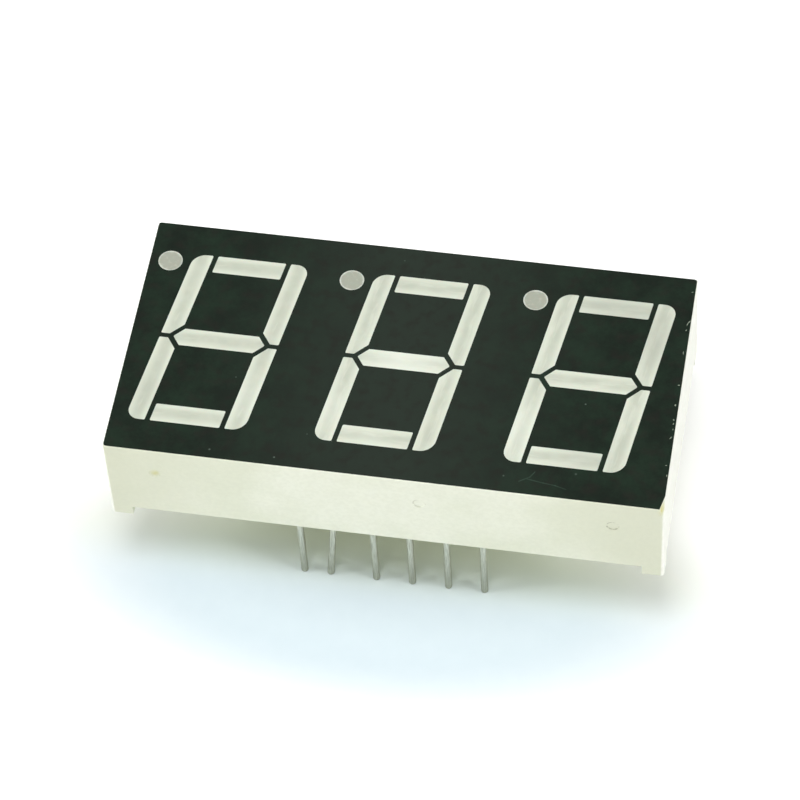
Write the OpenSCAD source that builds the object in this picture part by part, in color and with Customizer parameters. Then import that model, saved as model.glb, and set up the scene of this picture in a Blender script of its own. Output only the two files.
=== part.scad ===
// Three digit, seven segment LED display for through-hole mounting.
// Millimetres. +X runs along the digits as they are read, +Y to their tops, +Z out of the face.
// The origin is the centre of the pin pattern, on the plane of the feet.

/* [Housing] */
// Gap that is left between two displays mounted end to end at the digits' pitch
stack_gap = 0.2; // [0:0.1:1]
// Distance from a row of pins to the outer face of the wall beside it
row_margin = 1.88; // [1.8:0.02:4]
// How far each end wall leans in from the feet to the face
draft = 0.15; // [0:0.01:0.2]
// Height from the plane of the feet to the face
body_h = 8.0; // [7:0.1:12]
// Thickness of the outer walls at the feet
wall = 0.9; // [0.6:0.05:1.2]
// Radius of the upright outer corners
corner_r = 0.2; // [0.1:0.05:0.5]
// Width of the chamfer round the face
edge_chamfer = 0.05; // [0.04:0.01:0.2]
// Length of each corner foot along both walls
foot_l = 1.5; // [1:0.1:3]
// Height of the corner feet below the lower edge of the walls
foot_h = 0.85; // [0.3:0.05:1]

/* [Digits] */
// Number of digits
digits = 3; // [1:1:3]
// Height of a digit over its outer strokes
digit_h = 14.1; // [13:0.1:15]
// Width of a digit over its upright strokes
digit_w = 8.12; // [7.6:0.02:9]
// Clear distance between the upright strokes of two digits
digit_space = 4.58; // [4:0.02:6]
// Lean of the digits to the right
slant_angle = 8; // [0:0.5:10]
// Thickness of the level strokes
level_stroke = 1.4; // [1.2:0.02:1.7]
// Thickness of the upright strokes
upright_stroke = 1.34; // [1.2:0.02:1.6]
// Width of the dark gap between two strokes
stroke_gap = 0.35; // [0.25:0.01:0.4]
// Width of the flat end of an upright stroke, beside the middle stroke
upright_end = 0.6; // [0.5:0.01:0.8]
// Length of the pointed end of the middle stroke
point_l = 0.6; // [0.5:0.01:0.8]
// Radius of the digit's outer corners
outer_r = 0.9; // [0.5:0.05:1.2]
// Radius of all other corners of the strokes
small_r = 0.08; // [0.04:0.01:0.12]
// Diameter of the decimal point
dot_d = 1.68; // [1.4:0.02:1.9]
// Gap between the decimal point and the digit
dot_gap = 0.6; // [0.4:0.01:0.7]
// How far the decimal point reaches below the digit
dot_drop = 0.06; // [0:0.01:0.2]

/* [Wells] */
// Depth from the face to the circuit board
well_depth = 5.4; // [4.6:0.1:5.6]
// How far each end of a stroke's well slopes in towards the board
well_end_slope = 1.2; // [0.6:0.1:1.4]
// How far each side of a stroke's well slopes in towards the board
well_side_slope = 0.25; // [0.1:0.01:0.3]
// Thickness of the printed ink
ink_t = 0.06; // [0.04:0.01:0.1]

/* [Board] */
// Thickness of the circuit board
board_t = 1.0; // [0.8:0.1:1.2]
// Gap between the circuit board and the walls
board_gap = 0.15; // [0.1:0.01:0.3]
// Thickness of the resin behind the board
resin_cover = 0.5; // [0.45:0.01:0.6]
// Thickness of the copper
copper_t = 0.035; // [0.03:0.005:0.07]

/* [Chips] */
// Side of an LED chip
chip_w = 0.28; // [0.2:0.01:0.32]
// Height of an LED chip
chip_h = 0.2; // [0.1:0.01:0.25]
// Side of the copper pad under a chip
chip_pad = 0.5; // [0.4:0.01:0.54]
// Side of the copper pad at the far end of a bond wire
wire_pad = 0.3; // [0.2:0.01:0.4]
// Distance from a chip to the far end of its wire
wire_span = 0.6; // [0.56:0.01:0.66]
// Diameter of a bond wire
wire_d = 0.03; // [0.025:0.005:0.04]

/* [Pins] */
// Number of pins in each row
pins_per_row = 6; // [2:1:7]
// Distance from one pin to the next in a row
pin_pitch = 2.54; // [2:0.01:2.54]
// Least distance from a digit's top or foot to the middle of the pin row beside it
pin_row_gap = 0.5; // [0.4:0.02:1]
// Diameter of a pin
pin_d = 0.5; // [0.4:0.05:0.6]
// Side of the square root of a pin, in the board and the resin
pin_root_w = 0.5; // [0.4:0.01:0.54]
// Length of the root that shows below the resin
pin_root_l = 0.35; // [0.25:0.05:0.5]
// Diameter of the board's hole for a pin, filled up with solder
pin_hole_d = 0.85; // [0.8:0.01:0.9]
// Length of a pin below the plane of the feet
pin_l = 7.6; // [3:0.1:12]
// Height of a pin's head above the front of the board
pin_head_h = 0.3; // [0.1:0.05:0.4]
// Chamfer round the tip of a pin
pin_chamfer = 0.08; // [0.04:0.01:0.12]
// Number of the pin that leans
bent_pin_number = 8; // [1:1:12]
// Lean of that pin towards +X
bend_angle = 4.8; // [0:0.1:8]
// Diameter of the copper land round a pin
land_d = 1.4; // [1.2:0.05:1.6]
// Height of the solder round a pin
solder_h = 0.32; // [0.2:0.01:0.4]
// Thickness of the solder at its narrow end
solder_edge = 0.08; // [0.05:0.01:0.12]
// Clearance round a pin's head in the housing
head_clear = 0.15; // [0.1:0.01:0.2]

/* [Wear and marks] */
// Depth of the corner nick along the digits
nick_w = 0.32; // [0.1:0.01:0.8]
// Length of the corner nick along the end of the face
nick_d = 1.4; // [0.5:0.1:3]
// Depth of the corner nick down the upright edge
nick_h = 1.4; // [0.5:0.1:3]
// Diameter of the round mould marks in the wall
mark_d = 0.8; // [0.4:0.1:1.4]
// Depth of the round mould marks
mark_depth = 0.03; // [0.02:0.01:0.1]
// Distance from the face down to the mould marks
mark_drop = 2.6; // [2:0.1:4]

/* [Hidden] */
FACES = ["segment_a", "segment_b", "segment_c", "segment_d", "segment_e", "segment_f", "segment_g", "point"];
DIGITS = [1 : digits];
pin_count = 2 * pins_per_row;
PINS = [1 : pin_count];

function face_name(digit, face) = str("digit_", digit, "_", face);
function chips_name(digit) = str("digit_", digit, "_led_chips");
function wires_name(digit) = str("digit_", digit, "_bond_wires");
function pin_name(pin) = str("pin_", pin);

// Plan size: the pin rows keep to the pins' own grid, as near to the digits as the least gap lets them. The
// housing ends half a stacking gap short of the next digit's cell, and stands round the pin rows.
digit_pitch = digit_w + digit_space;
row_spacing = ceil((digit_h + 2 * pin_row_gap) / pin_pitch) * pin_pitch;
body_w = digits * digit_pitch - stack_gap;
body_d = row_spacing + 2 * row_margin;
face_w = body_w - 2 * draft;

// Heights, from the plane of the feet upwards
ink_z = body_h - ink_t;
board_z = body_h - well_depth;
board_back_z = board_z - board_t;
resin_z = board_back_z - resin_cover;
shank_z = resin_z - pin_root_l;
pin_root_across = pin_root_w * sqrt(2);

// How far a cutting shape runs past the surface that it opens
cut = 0.1;
// Facets of the round parts
round_fn = 32;
wire_fn = 6;
corner_steps = 8;
small_steps = 2;

// Places of the repeated parts
function digit_x(digit) = (digit - (digits + 1) / 2) * digit_pitch;
pin_column = [for (pin = PINS) pin <= pins_per_row ? pin - 1 : pin_count - pin];
function pin_x(pin) = (pin_column[pin - 1] - (pins_per_row - 1) / 2) * pin_pitch;
function pin_y(pin) = (pin <= pins_per_row ? -0.5 : 0.5) * row_spacing;

// The mould marks stand on the wall at the digits' tops, one beside each end and one near the middle
mark_inset = 3.5;
mark_offset = -2.5;
MARKS = [-(body_w / 2 - mark_inset), mark_offset, body_w / 2 - mark_inset];

// Strokes of an upright digit, before it leans. Every corner is [across, up, radius], anticlockwise.
half_w = digit_w / 2;
half_h = digit_h / 2;
upright_in = half_w - upright_stroke;
level_l = upright_in - stroke_gap;
// The mitred ends beside the middle stroke run along lines of this slope, one gap apart
mitre = 2 * point_l / level_stroke;
mitre_shift = stroke_gap * sqrt(1 + mitre * mitre);
mitre_at_level = half_w - upright_end + mitre * stroke_gap / 2;
middle_tip = mitre_at_level - mitre_shift;
mitre_top = (mitre_at_level - upright_in) / mitre;

TOP_STROKE = [
    [-level_l, half_h - level_stroke, small_r],
    [level_l, half_h - level_stroke, small_r],
    [level_l, half_h, small_r],
    [-level_l, half_h, small_r]
];
MIDDLE_STROKE = [
    [-middle_tip, 0, small_r],
    [point_l - middle_tip, -level_stroke / 2, small_r],
    [middle_tip - point_l, -level_stroke / 2, small_r],
    [middle_tip, 0, small_r],
    [middle_tip - point_l, level_stroke / 2, small_r],
    [point_l - middle_tip, level_stroke / 2, small_r]
];
UPPER_RIGHT_STROKE = [
    [upright_in, mitre_top, small_r],
    [half_w - upright_end, stroke_gap / 2, small_r],
    [half_w, stroke_gap / 2, small_r],
    [half_w, half_h, outer_r],
    [upright_in, half_h, small_r]
];

function reversed(list) = [for (i = [len(list) - 1 : -1 : 0]) list[i]];
function mirrored_x(corners) = reversed([for (c = corners) [-c[0], c[1], c[2]]]);
function mirrored_y(corners) = reversed([for (c = corners) [c[0], -c[1], c[2]]]);
function stroke_corners(segment) =
    segment == "a" ? TOP_STROKE
    : segment == "b" ? UPPER_RIGHT_STROKE
    : segment == "c" ? mirrored_y(UPPER_RIGHT_STROKE)
    : segment == "d" ? mirrored_y(TOP_STROKE)
    : segment == "e" ? mirrored_x(mirrored_y(UPPER_RIGHT_STROKE))
    : segment == "f" ? mirrored_x(UPPER_RIGHT_STROKE)
    : MIDDLE_STROKE;

// One corner of a convex outline, turned into an arc that touches both of its sides
function unit(v) = v / norm(v);
function corner_arc(before, corner, after, r) =
    let (
        to_before = unit(before - corner),
        to_after = unit(after - corner),
        half_angle = acos(to_before * to_after) / 2,
        centre = corner + unit(to_before + to_after) * r / sin(half_angle),
        start = corner + to_before * r / tan(half_angle) - centre,
        turn = 180 - 2 * half_angle,
        steps = r > small_r ? corner_steps : small_steps
    )
    [for (i = [0 : steps])
        let (a = turn * i / steps)
        centre + [start[0] * cos(a) - start[1] * sin(a), start[0] * sin(a) + start[1] * cos(a)]
    ];
function rounded(corners) =
    let (n = len(corners))
    [for (i = [0 : n - 1])
        let (before = corners[(i + n - 1) % n], corner = corners[i], after = corners[(i + 1) % n])
        each corner_arc([before[0], before[1]], [corner[0], corner[1]], [after[0], after[1]], corner[2])
    ];

// The middle of a stroke, and the share of its size that is left at the board
function lowest(points, axis) = min([for (p = points) p[axis]]);
function highest(points, axis) = max([for (p = points) p[axis]]);
function middle(points) = [for (axis = [0, 1]) (lowest(points, axis) + highest(points, axis)) / 2];
function extent(points) = [for (axis = [0, 1]) highest(points, axis) - lowest(points, axis)];
function floor_share(points) =
    let (
        size = extent(points),
        level = size[0] > size[1],
        slope = level ? [well_end_slope, well_side_slope] : [well_side_slope, well_end_slope]
    )
    [for (axis = [0, 1]) 1 - 2 * slope[axis] / size[axis]];
function leaning(p) = [p[0] + p[1] * tan(slant_angle), p[1]];

// The outline of a stroke at its face (share 1) or at the board (share 0), with the digit's lean
function stroke_outline(segment, share) =
    let (
        points = rounded(stroke_corners(segment)),
        centre = middle(points),
        floor_scale = floor_share(points),
        size = [for (axis = [0, 1]) floor_scale[axis] + (1 - floor_scale[axis]) * share]
    )
    [for (p = points) leaning([for (axis = [0, 1]) centre[axis] + (p[axis] - centre[axis]) * size[axis]])];

// The decimal point stands upright beside the foot of the leaning digit, a little below its lowest stroke
dot_y = dot_d / 2 - half_h - dot_drop;
dot_x = half_w + dot_y * tan(slant_angle) + dot_gap + dot_d / 2;
dot_floor_d = dot_d - 2 * well_side_slope;

// Centre of a well at the board, where its chip and wire stand, and the way its wire runs: along the stroke,
// and up beside the point, whose well ends at the edge of the board
function well_centre(face) =
    face == "point" ? [dot_x, dot_y] : leaning(middle(rounded(stroke_corners(face[8]))));
function wire_turn(face) =
    face == "point" ? 90
    : len(search(face[8], "bcef")) > 0 ? 90 - slant_angle
    : 0;

// A solid that follows a stroke's well through the given levels. Each level is [height, share].
module stroke_loft(segment, levels) {
    rings = [for (level = levels) [for (p = stroke_outline(segment, level[1])) [p[0], p[1], level[0]]]];
    n = len(rings[0]);
    last = (len(levels) - 1) * n;
    polyhedron(
        points = [for (ring = rings) each ring],
        faces = concat(
            [[for (i = [0 : n - 1]) i]],
            [[for (i = [n - 1 : -1 : 0]) last + i]],
            [for (k = [0 : len(levels) - 2], i = [0 : n - 1])
                let (low = k * n, next = (i + 1) % n)
                each [
                    [low + i, low + n + i, low + n + next],
                    [low + i, low + n + next, low + next]
                ]
            ]
        )
    );
}

module dot_loft(levels) {
    translate([dot_x, dot_y, 0])
        for (k = [0 : len(levels) - 2]) {
            low = levels[k];
            high = levels[k + 1];
            translate([0, 0, low[0]])
                cylinder(
                    h = high[0] - low[0],
                    d1 = dot_floor_d + (dot_d - dot_floor_d) * low[1],
                    d2 = dot_floor_d + (dot_d - dot_floor_d) * high[1],
                    $fn = round_fn
                );
        }
}

module well_loft(face, levels) {
    if (face == "point")
        dot_loft(levels);
    else
        stroke_loft(face[8], levels);
}

// A straight opening of a well's full size
module face_opening(face, low, high) {
    translate([0, 0, low])
        linear_extrude(height = high - low)
            if (face == "point")
                translate([dot_x, dot_y])
                    circle(d = dot_d, $fn = round_fn);
            else
                polygon(stroke_outline(face[8], 1));
}

module at_digit(digit) {
    translate([digit_x(digit), 0, 0])
        children();
}

module all_wells(levels) {
    for (digit = DIGITS, face = FACES)
        at_digit(digit)
            well_loft(face, levels);
}

module at_pins() {
    for (pin = PINS)
        translate([pin_x(pin), pin_y(pin), 0])
            children();
}

// A block with upright rounded edges
module rounded_block(w, d, h, r) {
    cube([w - 2 * r, d, h], center = true);
    cube([w, d - 2 * r, h], center = true);
    for (x = [-1, 1], y = [-1, 1])
        translate([x * (w / 2 - r), y * (d / 2 - r), 0])
            cylinder(h = h, r = r, center = true, $fn = round_fn);
}

module block_between(w, d, low, high, r) {
    translate([0, 0, (low + high) / 2])
        rounded_block(w, d, high - low, r);
}

// A bar along Y whose two ends in X lean in towards the top
module leaning_bar(w, d, h, lean_in) {
    rotate([90, 0, 0])
        linear_extrude(height = d, center = true)
            polygon([[-w / 2, 0], [w / 2, 0], [w / 2 - lean_in, h], [lean_in - w / 2, h]]);
}

// The body's outside: a bar with leaning ends, whose four corners are rounded by bars that lean with them
module drafted_block(w, d, h, r, lean_in) {
    lean_angle = atan(lean_in / h);
    inset = r / cos(lean_angle);
    intersection() {
        union() {
            leaning_bar(w, d - 2 * r, h, lean_in);
            leaning_bar(w - 2 * inset, d, h, lean_in);
            for (x = [-1, 1], y = [-1, 1])
                translate([x * (w / 2 - inset), y * (d / 2 - r), 0])
                    rotate([0, -x * lean_angle, 0])
                        cylinder(h = 3 * h, r = r, center = true, $fn = round_fn);
        }
        translate([0, 0, h / 2])
            cube([2 * w, 2 * d, h], center = true);
    }
}

// The bevels round the face, one long wedge for each side
module face_chamfers() {
    for (side = [[0, body_d, face_w], [90, face_w, body_d]])
        rotate([0, 0, side[0]])
            for (turn = [0, 180])
                rotate([0, 0, turn])
                    translate([0, side[1] / 2, body_h - ink_t])
                        rotate([45, 0, 0])
                            cube([side[2] + 2 * cut, edge_chamfer * sqrt(2), edge_chamfer * sqrt(2)], center = true);
}

// The notches between the corner feet, through all four walls
module foot_notches() {
    for (size = [[body_w - 2 * foot_l, body_d + 2 * cut], [body_w + 2 * cut, body_d - 2 * foot_l]])
        translate([-size[0] / 2, -size[1] / 2, -cut])
            cube([size[0], size[1], foot_h + cut]);
}

// The sliver knocked off one upper corner. Its broken face runs through a point on each of the corner's three edges.
module corner_nick() {
    corner = [-face_w / 2, body_d / 2, body_h];
    ends = [[nick_w, 0, 0], [0, -nick_d, 0], [0, 0, -nick_h]];
    centre = (ends[0] + ends[1] + ends[2]) / len(ends);
    spread = 1.5;
    outside = [-1, 1, 1];
    polyhedron(
        points = concat([corner + outside], [for (end = ends) corner + centre + (end - centre) * spread]),
        faces = [[0, 2, 1], [0, 1, 3], [0, 3, 2], [1, 2, 3]]
    );
}

module mould_marks() {
    for (x = MARKS)
        translate([x, body_d / 2 - mark_depth, body_h - mark_drop])
            rotate([-90, 0, 0])
                cylinder(h = mark_depth + cut, d = mark_d, $fn = round_fn);
}

module housing() {
    color("#E4E9D6")
        difference() {
            drafted_block(body_w, body_d, ink_z, corner_r, draft);
            block_between(body_w - 2 * wall, body_d - 2 * wall, -cut, board_z, corner_r);
            foot_notches();
            all_wells([[board_z - cut, 0], [board_z, 0], [ink_z, 1], [ink_z + cut, 1]]);
            at_pins()
                translate([0, 0, board_z - cut])
                    cylinder(h = pin_head_h + head_clear + cut, d = pin_root_across + 2 * head_clear, $fn = round_fn);
            face_chamfers();
            corner_nick();
            mould_marks();
        }
}

module face_ink() {
    color("#28302B")
        difference() {
            block_between(face_w - 2 * edge_chamfer, body_d - 2 * edge_chamfer, ink_z, body_h, corner_r);
            for (digit = DIGITS, face = FACES)
                at_digit(digit)
                    face_opening(face, ink_z - cut, body_h + cut);
            corner_nick();
        }
}

// A chip and its wire, standing on the board at a well's centre. The chip stands before the centre, along the wire.
module at_chip(digit, face) {
    at_digit(digit)
        translate(concat(well_centre(face), [board_z]))
            rotate([0, 0, wire_turn(face)])
                children();
}

module chip() {
    translate([-wire_span / 2 - chip_w / 2, -chip_w / 2, 0])
        cube([chip_w, chip_w, chip_h]);
}

// The wire rises from the top of the chip in a half circle and drops straight to its pad
module bond_wire() {
    translate([0, 0, chip_h])
        rotate([90, 0, 0])
            rotate_extrude(angle = 180, $fn = round_fn)
                translate([wire_span / 2, 0])
                    circle(d = wire_d, $fn = wire_fn);
    translate([wire_span / 2, 0, 0])
        cylinder(h = chip_h, d = wire_d, $fn = wire_fn);
}

module segment_fill(digit, face) {
    color(face == "point" ? "#C6CBC0" : "#DDE0D6")
        difference() {
            at_digit(digit)
                well_loft(face, [[board_z, 0], [ink_z, 1], [body_h, 1]]);
            at_chip(digit, face) {
                chip();
                bond_wire();
            }
        }
}

module led_chips(digit) {
    color("#8A8F94")
        for (face = FACES)
            at_chip(digit, face)
                chip();
}

module bond_wires(digit) {
    color("#D9B45B")
        for (face = FACES)
            at_chip(digit, face)
                bond_wire();
}

// The pads lie flush with the front of the board, as its lacquer is as thick as the copper
module pads() {
    for (digit = DIGITS, face = FACES)
        at_chip(digit, face)
            for (pad = [[-1, chip_pad], [1, wire_pad]])
                translate([pad[0] * wire_span / 2, 0, -copper_t / 2])
                    cube([pad[1], pad[1], copper_t], center = true);
}

module front_pads() {
    color("#C98A4B")
        pads();
}

module lands() {
    at_pins()
        translate([0, 0, board_back_z])
            cylinder(h = copper_t, d = land_d, $fn = round_fn);
}

module rear_lands() {
    color("#C98A4B")
        difference() {
            lands();
            board_holes(cut);
        }
}

// The board's holes, made longer by an extra length at each end
module board_holes(extra) {
    at_pins()
        translate([0, 0, board_back_z - extra])
            cylinder(h = board_t + 2 * extra, d = pin_hole_d, $fn = round_fn);
}

// A pin's square root, from the height where its round shank starts up to its head
module pin_root() {
    linear_extrude(board_z + pin_head_h - shank_z)
        square(pin_root_w, center = true);
}

module pin_roots() {
    at_pins()
        translate([0, 0, shank_z])
            pin_root();
}

module board_block() {
    block_between(
        body_w - 2 * (wall + board_gap), body_d - 2 * (wall + board_gap),
        board_back_z, board_z, corner_r
    );
}

module circuit_board() {
    color("#D8CFA6")
        difference() {
            board_block();
            pads();
            lands();
            board_holes(cut);
        }
}

module solder_cones() {
    at_pins()
        translate([0, 0, board_back_z - solder_h])
            cylinder(h = solder_h, d1 = pin_root_across + 2 * solder_edge, d2 = land_d, $fn = round_fn);
}

// The solder stands in a cone on each land and fills the hole round the pin up to the front of the board
module solder_joints() {
    color("#C4C8C9")
        difference() {
            union() {
                solder_cones();
                board_holes(0);
            }
            pin_roots();
        }
}

module rear_resin() {
    color("#D9D8C4")
        difference() {
            block_between(body_w - 2 * wall, body_d - 2 * wall, resin_z, board_z, corner_r);
            board_block();
            solder_cones();
            pin_roots();
        }
}

// A pin has a square root and a round shank, and a bent one leans from where its shank starts
module one_pin(pin) {
    lean = pin == bent_pin_number ? bend_angle : 0;
    shank_l = shank_z + pin_l;
    color("#C9CCCB")
        translate([pin_x(pin), pin_y(pin), shank_z]) {
            pin_root();
            rotate([0, 180 - lean, 0]) {
                cylinder(h = shank_l - pin_chamfer, d = pin_d, $fn = round_fn);
                translate([0, 0, shank_l - pin_chamfer])
                    cylinder(h = pin_chamfer, d1 = pin_d, d2 = pin_d - 2 * pin_chamfer, $fn = round_fn);
            }
        }
}

housing();
face_ink();
for (digit = DIGITS, face = FACES)
    segment_fill(digit, face);
circuit_board();
front_pads();
rear_lands();
solder_joints();
for (digit = DIGITS)
    led_chips(digit);
for (digit = DIGITS)
    bond_wires(digit);
rear_resin();
for (pin = PINS)
    one_pin(pin);
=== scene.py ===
# Looks of a three digit, seven segment LED display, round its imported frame.
# Metres, in the frame's axes: +X along the digits as they are read, +Y to their tops, +Z out of the face.
import math

import bpy
import numpy as np
from bpy.props import FloatProperty, FloatVectorProperty, PointerProperty, StringProperty
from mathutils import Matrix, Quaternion, Vector


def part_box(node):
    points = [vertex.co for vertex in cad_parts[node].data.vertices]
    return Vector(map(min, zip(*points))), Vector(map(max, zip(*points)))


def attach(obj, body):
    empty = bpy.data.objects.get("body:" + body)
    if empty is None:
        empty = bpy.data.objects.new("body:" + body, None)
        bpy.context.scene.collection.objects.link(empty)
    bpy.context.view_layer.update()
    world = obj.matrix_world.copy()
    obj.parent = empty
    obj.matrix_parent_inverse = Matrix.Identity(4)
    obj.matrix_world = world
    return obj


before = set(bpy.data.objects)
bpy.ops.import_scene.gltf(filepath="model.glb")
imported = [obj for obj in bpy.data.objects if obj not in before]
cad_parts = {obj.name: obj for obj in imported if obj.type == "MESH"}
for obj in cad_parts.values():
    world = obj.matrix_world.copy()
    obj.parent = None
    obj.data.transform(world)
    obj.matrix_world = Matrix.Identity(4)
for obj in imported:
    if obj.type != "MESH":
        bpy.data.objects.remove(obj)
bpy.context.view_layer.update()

bl_info = {
    "name": "Seven segment display looks",
    "version": (1, 0, 0),
    "blender": (4, 5, 0),
    "location": "View3D > Sidebar > Display",
    "description": "Finishes, resin menisci, ink flakes and stage of a three digit LED display",
    "category": "Object",
}

MM = 0.001
UPRIGHTS = "bcef"
LEVELS = "adg"

# Settings that many nodes share: a soft step between two values, and a mix of two colours
SOFT = {"interpolation_type": "SMOOTHSTEP"}
COLOUR = {"data_type": "RGBA"}
# Inputs that many soft steps share: the span of most of a noise's values, its middle, and a fall from 1 to 0
NOISE_SPAN = {"From Min": 0.3, "From Max": 0.7}
NOISE_MIDDLE = {"From Min": 0.35, "From Max": 0.65}
FADING = {"To Min": 1.0, "To Max": 0.0}
# The input that makes a surface a bare metal
METAL = {"Metallic": 1.0}


def middle(node):
    """Centre of a CAD node's box."""
    low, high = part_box(node)
    return (low + high) / 2


def nodes_ending(tail):
    """Names of the CAD nodes that end like this."""
    return [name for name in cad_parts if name.endswith(tail)]


# Places that the frame gives
HOUSING_LOW, HOUSING_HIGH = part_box("housing")
RESIN_LOW, RESIN_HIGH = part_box("rear_resin")
INK_LOW, INK_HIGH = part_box("face_ink")
DIGIT_PITCH = middle("digit_2_segment_g").x - middle("digit_1_segment_g").x
PIN_NODES = [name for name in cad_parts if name.startswith("pin_")]
PIN_TIP_Z = min(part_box(name)[0].z for name in PIN_NODES)
PIN_PITCH = middle("pin_2").x - middle("pin_1").x
ROW_Y = middle("pin_12").y

# The round mould marks on the wall at the digits' tops: how far below the ink they are, how far in from the
# ends the outer two are, their radius, and each one's place along X with how dark a ring its rim is painted
MARK_DROP = 2.6 * MM
MARK_INSET = 3.5 * MM
MARK_Z = INK_HIGH.z - MARK_DROP
MARK_R = 0.4 * MM
MARKS = ((HOUSING_HIGH.x - MARK_INSET, 0.12), (-2.5 * MM, 0.4), (HOUSING_LOW.x + MARK_INSET, 0.9))

# Where the strokes' resin is painted paler or duller than elsewhere, partly for the resin's own unevenness
# and partly as painted highlight in the middle and painted shade towards the ends: x, y and reach in
# millimetres, and strength
MILKY_AND_HIGHLIT = ((-0.1, -0.1, 4.5, 0.5), (3.9, 4.5, 3.5, 0.25), (-8.6, 4.5, 3.5, 0.3), (10.1, 4.2, 3.0, 0.2),
         (0.9, 6.4, 2.5, 0.15))
DULL_AND_SHADED = ((-13.5, -6.3, 4.5, 0.4), (-16.5, -4.0, 4.5, 0.45), (16.7, 4.7, 3.0, 0.25), (-13.5, 6.0, 4.0, 0.3))


# What a user would change

class DisplayColours(bpy.types.PropertyGroup):
    """Colours of the display's own finishes, as sRGB hex."""

    housing: StringProperty(
        name="Housing", description="Main tone of the white moulding", default="#DEE2CD")
    housing_pale: StringProperty(
        name="Housing, pale", description="Paler clouds in the white moulding", default="#E8EBDA")
    # Painted shade: the long walls are painted a deeper tone towards their ends, where less of the lamps'
    # light falls
    housing_shaded_ends: StringProperty(
        name="Housing, aged", description="Long walls of the white moulding near its ends", default="#D3D6BF")
    # Painted highlight: the end walls are painted paler because the lamps light them brightly, not because
    # light bleached them
    housing_lit_end: StringProperty(
        name="Housing, end walls", description="End walls, which the light has bleached", default="#F1F2E9")
    yellowed: StringProperty(
        name="Yellowed spots", description="Aged plastic at a gate and at the nick", default="#C9C67E")
    # Tone of the darker broken ring in the rims of the mould marks
    mark_rim_tone: StringProperty(
        name="Grime", description="Dirt in the rims of the mould marks", default="#8B8D74")
    ink: StringProperty(
        name="Ink", description="Main tone of the printed ink", default="#111A13")
    ink_pale: StringProperty(
        name="Ink, pale", description="Paler clouds in the printed ink", default="#1B2A1F")
    # Painted sheen: the paler middle of the face stands in for the lamps' reflection, not for handling
    ink_painted_sheen: StringProperty(
        name="Ink, rubbed", description="Handled middle of the face", default="#29312A")
    resin_rim: StringProperty(
        name="Stroke rim", description="Resin over the bright wall of a well", default="#DDE2D1")
    resin_core: StringProperty(
        name="Stroke core", description="Resin over the deep middle of a well", default="#C3C9B8")
    point_core: StringProperty(
        name="Point core", description="Resin in the middle of a decimal point", default="#A9AD9E")
    potting: StringProperty(
        name="Rear resin", description="Milky epoxy over the back of the board", default="#DDDCC6")


class DisplaySizes(bpy.types.PropertyGroup):
    """Sizes of the pieces that are added to the frame."""

    slant: FloatProperty(
        name="Slant", description="Lean of the digits to the right",
        default=math.radians(8), min=0, max=math.radians(15), subtype="ANGLE")
    stroke_half: FloatProperty(
        name="Half stroke", description="Half the width of a stroke",
        default=0.69 * MM, min=0.3 * MM, max=1.5 * MM, subtype="DISTANCE", unit="LENGTH")
    root_half: FloatProperty(
        name="Half root", description="Half the side of a pin's square root",
        default=0.25 * MM, min=0.2 * MM, max=0.5 * MM, subtype="DISTANCE", unit="LENGTH")
    creep_reach: FloatProperty(
        name="Creep reach", description="How far a meniscus spreads from what it climbs",
        default=0.42 * MM, min=0.1 * MM, max=0.8 * MM, subtype="DISTANCE", unit="LENGTH")
    creep_rise: FloatProperty(
        name="Creep rise", description="How high the resin climbs a pin or a wall",
        default=0.16 * MM, min=0.05 * MM, max=0.3 * MM, subtype="DISTANCE", unit="LENGTH")
    flake_rise: FloatProperty(
        name="Flake rise", description="How far a loosened flake stands off the face",
        default=0.012 * MM, min=0.005 * MM, max=0.05 * MM, subtype="DISTANCE", unit="LENGTH")


class StageSettings(bpy.types.PropertyGroup):
    """Camera and light."""

    lens_mm: FloatProperty(
        name="Lens", description="Focal length on a 36 mm wide sensor", default=165.2, min=20, max=400)
    camera_place: FloatVectorProperty(
        name="Camera place", description="Where the camera stands",
        default=(-31.355 * MM, 140.725 * MM, 208.891 * MM), subtype="XYZ", unit="LENGTH")
    camera_aim: FloatVectorProperty(
        name="Camera aim", description="Point of the face in the middle of the picture",
        default=(-0.281 * MM, 3.166 * MM, 8.0 * MM), subtype="XYZ", unit="LENGTH")
    camera_roll: FloatProperty(
        name="Camera roll", description="Turn of the camera about its own axis",
        default=math.radians(-4.058), subtype="ANGLE")
    sky_strength: FloatProperty(
        name="Sky strength", description="Even light of the white surroundings", default=0.12, min=0, max=2)
    floor_glow: FloatProperty(
        name="Floor glow", description="What the far floor adds to its own look, to read as white",
        default=0.32, min=0, max=1)


# Small helpers

def linear(code):
    """Linear RGBA of an sRGB hex colour: the sRGB curve undone on each channel."""
    channels = [int(code[i:i + 2], 16) / 255 for i in (1, 3, 5)]
    return [c / 12.92 if c <= 0.04045 else ((c + 0.055) / 1.055) ** 2.4 for c in channels] + [1.0]


def add(tree, kind, inputs=None, **settings):
    """Adds a shader node with its settings and gives back its first live output.

    An input is a value, or an output to link from. Its key is the socket's name, or its place among the
    live ones.
    """
    made = tree.nodes.new("ShaderNode" + kind)
    for name, value in settings.items():
        setattr(made, name, value)
    live = [socket for socket in made.inputs if socket.enabled]
    for key, value in (inputs or {}).items():
        socket = live[key] if isinstance(key, int) else next(one for one in live if one.name == key)
        if isinstance(value, bpy.types.NodeSocket):
            tree.links.new(value, socket)
        else:
            socket.default_value = value
    return next((socket for socket in made.outputs if socket.enabled), None)


def new_material(name):
    """An empty material, its node tree, and the place of a shaded point in the display's frame."""
    made = bpy.data.materials.new(name)
    made.use_nodes = True
    tree = made.node_tree
    tree.nodes.clear()
    return made, tree, add(tree, "TexCoord").node.outputs["Object"]


def per_mm(size):
    """Noise scale, in features per metre, of a pattern whose grains are size millimetres across."""
    return 1 / (size * MM)


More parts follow.
